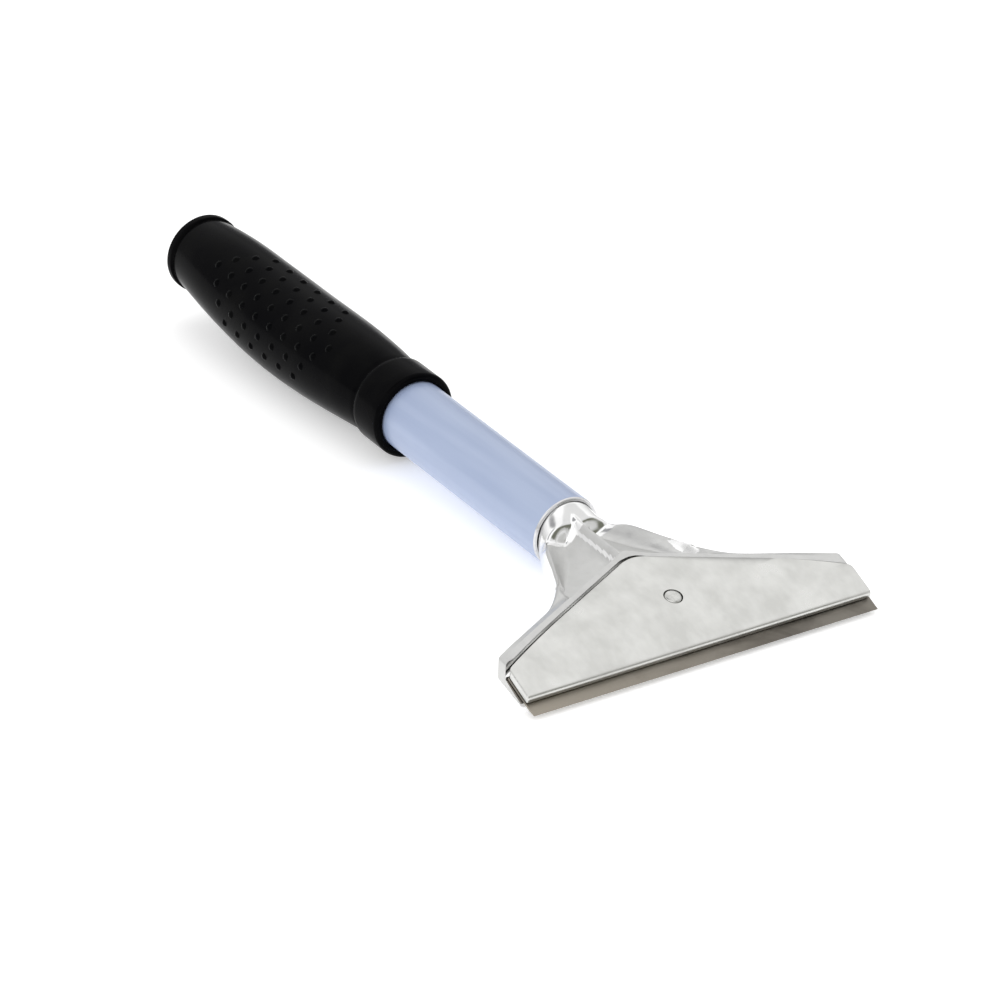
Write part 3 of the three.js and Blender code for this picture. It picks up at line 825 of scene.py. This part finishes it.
def plate_outline(margin):
    """The plate's outline from above, grown by margin and running out past the head's front."""
    apex = APEX_Y + margin * math.hypot(1, RISE)
    half = PLATE_HALF + margin
    tip = [(x * APEX_ROUNDING, apex - RISE * APEX_ROUNDING / 2 * (1 + x * x)) for x in np.linspace(1, -1, 17)]
    shoulder = apex - RISE * half
    return [(-half, CUT_FRONT), (half, CUT_FRONT), (half, shoulder), *tip, (-half, shoulder)]


def head_material(centre, normal):
    """The underside and the two ends keep their cast skin; the rest is polished."""
    underside = normal.z < -0.55 and centre.y < -8
    end = abs(centre.x) > 56 and abs(normal.x) > 0.8
    return int(underside or end)


def add_head():
    outline, middle = head_rows()
    rows = []
    for y, share in ((SPIGOT_LENGTH, 8.4 / SPIGOT_RADIUS), (SPIGOT_LENGTH - 1.2, 1), (12, 1), (4, 1)):
        section = head_section(SPIGOT_RADIUS, 0, 0)
        section[:, 1] = y
        section[:, [0, 2]] *= share
        rows.append(section)
    for (x_out, y_out), y_mid in zip(outline, middle):
        rows.append(head_section(x_out, y_out, y_mid))
    verts, faces = loft(rows)
    head = build("cast_head", verts, faces, [CAST, SKIN], head_material, crease=42)
    above = plate_surface(PLATE_THICKNESS + SEAT_GAP) + [(CUT_REAR, CUT_REAR), (CUT_FRONT, CUT_REAR)]
    deck = prism("deck", above, across, -CUT_SIDE, CUT_SIDE)
    recess = prism("recess", plate_outline(PLATE_CLEARANCE), upright, -CUT_REACH, CUT_REACH)
    cut(recess, deck, "INTERSECT")
    cut(head, recess)
    cut(head, blade_seat())
    cut(head, stud_cylinder("spot_face", SPOT_FACE_RADIUS, PLATE_THICKNESS + SEAT_GAP + WEB, STUD_CUT_END))
    cut(head, stud_cylinder("stud_bore", STUD_BORE_RADIUS, -10, STUD_CUT_END))
    cut(head, tray())
    cut(head, pin_cylinder("head_pin_hole", PIN_HOLE_BOTTOM, PIN_HOLE_TOP))
    head.data.set_sharp_from_angle(angle=math.radians(42))
    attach(head, "handle_and_head")
    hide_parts("head_casting")


def tray():
    """The hollow under the head, open below. Its outline runs anticlockwise, as prism needs."""
    flank = spline(FLANK + (END_REAR,), 90) - (TRAY_WALL, 0.4 * TRAY_WALL)
    inside = [tuple(p) for p in flank if TRAY_REAR > p[1] and p[0] < TRAY_HALF_WIDTH]
    right = [(inside[0][0], TRAY_REAR), *inside]
    right += [(TRAY_HALF_WIDTH, inside[-1][1]), (TRAY_HALF_WIDTH, TRAY_FRONT)]
    outline = [(-x, y) for x, y in right] + right[::-1]
    return prism("tray", outline, upright, -CUT_REACH, TRAY_TOP)


def blade_seat():
    depth = BLADE_THICKNESS + SEAT_GAP
    stop = blade_edge() + along(STRIP_PITCH) * (BLADE_DEPTH + SEAT_GAP) - normal_to(STRIP_PITCH) * depth
    front = stop - along(STRIP_PITCH) * CUT_REACH
    top = stop + normal_to(STRIP_PITCH) * (depth + 1)
    corners = [tuple(front), tuple(stop), tuple(top), (front[0], SEAT_CUT_TOP)]
    return prism("seat", corners, across, -CUT_SIDE, CUT_SIDE)


add_tube()
add_grip()
add_plate()
add_stud()
add_blade()
add_head()
for node in ("clamp_nut", "flat_washer", "spring_washer", "tube_pin"):
    mesh = frame["nodes"][node].data
    mesh.materials.clear()
    mesh.materials.append(ZINC)


# ---- camera ----
# Where it stands, and the directions that are right and down in the picture, in the tool's frame.
CAMERA_PLACE = (-724.1, -1017.2, 701.4)
CAMERA_RIGHT = (0.83489, -0.54906, 0.03853)
CAMERA_DOWN = (-0.23833, -0.42373, -0.87387)
CAMERA_LENS = 180
CAMERA_SENSOR = 36


def add_camera():
    right = Vector(CAMERA_RIGHT)
    down = Vector(CAMERA_DOWN)
    data = bpy.data.cameras.new("camera")
    data.sensor_width = CAMERA_SENSOR
    data.lens = CAMERA_LENS
    data.clip_start = 0.05
    data.clip_end = 20
    camera = bpy.data.objects.new("camera", data)
    turn = TO_ROW.to_3x3() * (1 / MM)
    axes = [turn @ right, turn @ -down, turn @ right.cross(-down)]
    pose = Matrix([[a[i] for a in axes] for i in range(3)]).to_4x4()
    camera.matrix_world = Matrix.Translation(TO_ROW @ Vector(CAMERA_PLACE)) @ pose
    bpy.context.scene.collection.objects.link(camera)
    bpy.context.scene.camera = camera


# ---- studio ----
# Dark patches in the sky: direction, angles in degrees where the full shade and the soft edge end, colour.
DARK_PATCHES = (
    ((0.40, -0.80, 0.44), 13, 23, (0.17, 0.175, 0.14)),
    ((-0.36, 0.14, 0.92), 8, 22, (0.36, 0.36, 0.37)),
    ((-0.83, 0.43, 0.06), 3, 11, (0.20, 0.20, 0.22)),
    ((0.62, 0.78, 0.12), 6, 16, (0.42, 0.42, 0.43)),
    ((0.56, -0.46, 0.69), 6, 22, (0.82, 0.82, 0.82)),
)


FLOOR_HALF = 6.0  # metres


def add_floor():
    mesh = bpy.data.meshes.new("floor")
    signs = ((-1, -1), (1, -1), (1, 1), (-1, 1))
    mesh.from_pydata([(a * FLOOR_HALF, b * FLOOR_HALF, 0) for a, b in signs], [], [(0, 1, 2, 3)])
    floor = bpy.data.objects.new("floor", mesh)
    mesh.materials.append(paper_look())
    bpy.context.scene.collection.objects.link(floor)


def add_area(name, place, target, size, energy):
    data = bpy.data.lights.new(name, "AREA")
    data.shape = "RECTANGLE"
    data.size, data.size_y = size
    data.energy = energy
    light = bpy.data.objects.new(name, data)
    light.location = place
    light.rotation_euler = (Vector(target) - Vector(place)).to_track_quat("-Z", "Y").to_euler()
    bpy.context.scene.collection.objects.link(light)


def add_sky():
    """A white studio, darker low down, with soft dark patches that polished metal shows."""
    world = bpy.data.worlds.new("studio")
    bpy.context.scene.world = world
    world.use_nodes = True
    tree = world.node_tree
    place = tree.nodes.new("ShaderNodeTexCoord").outputs["Generated"]
    split = tree.nodes.new("ShaderNodeSeparateXYZ")
    tree.links.new(place, split.inputs["Vector"])
    colors = tree.nodes.new("ShaderNodeValToRGB")
    steps = colors.color_ramp
    steps.elements[0].position = 0.0
    steps.elements[0].color = (0.62, 0.62, 0.61, 1)
    steps.elements[1].position = 0.65
    steps.elements[1].color = (1.12, 1.12, 1.12, 1)
    for position, level in ((0.20, 0.78), (0.42, 0.95)):
        steps.elements.new(position).color = (level, level, level, 1)
    tree.links.new(split.outputs["Z"], colors.inputs["Fac"])
    color = colors.outputs["Color"]
    for direction, inner, outer, shade in DARK_PATCHES:
        dot = tree.nodes.new("ShaderNodeVectorMath")
        dot.operation = "DOT_PRODUCT"
        tree.links.new(place, dot.inputs[0])
        dot.inputs[1].default_value = Vector(direction).normalized()
        edge = tree.nodes.new("ShaderNodeMapRange")
        edge.interpolation_type = "SMOOTHSTEP"
        edge.inputs["From Min"].default_value = math.cos(math.radians(outer))
        edge.inputs["From Max"].default_value = math.cos(math.radians(inner))
        tree.links.new(dot.outputs["Value"], edge.inputs["Value"])
        mix = tree.nodes.new("ShaderNodeMix")
        mix.data_type = "RGBA"
        tree.links.new(edge.outputs["Result"], mix.inputs[0])
        tree.links.new(color, mix.inputs[6])
        mix.inputs[7].default_value = (*shade, 1)
        color = mix.outputs[2]
    tree.links.new(color, tree.nodes["Background"].inputs["Color"])


add_camera()
add_floor()
add_sky()
add_area("left", place=(-1.0, -0.75, 0.9), target=(0, 0, 0), size=(1.5, 1.5), energy=1.5)
bpy.context.scene.view_settings.view_transform = "Standard"
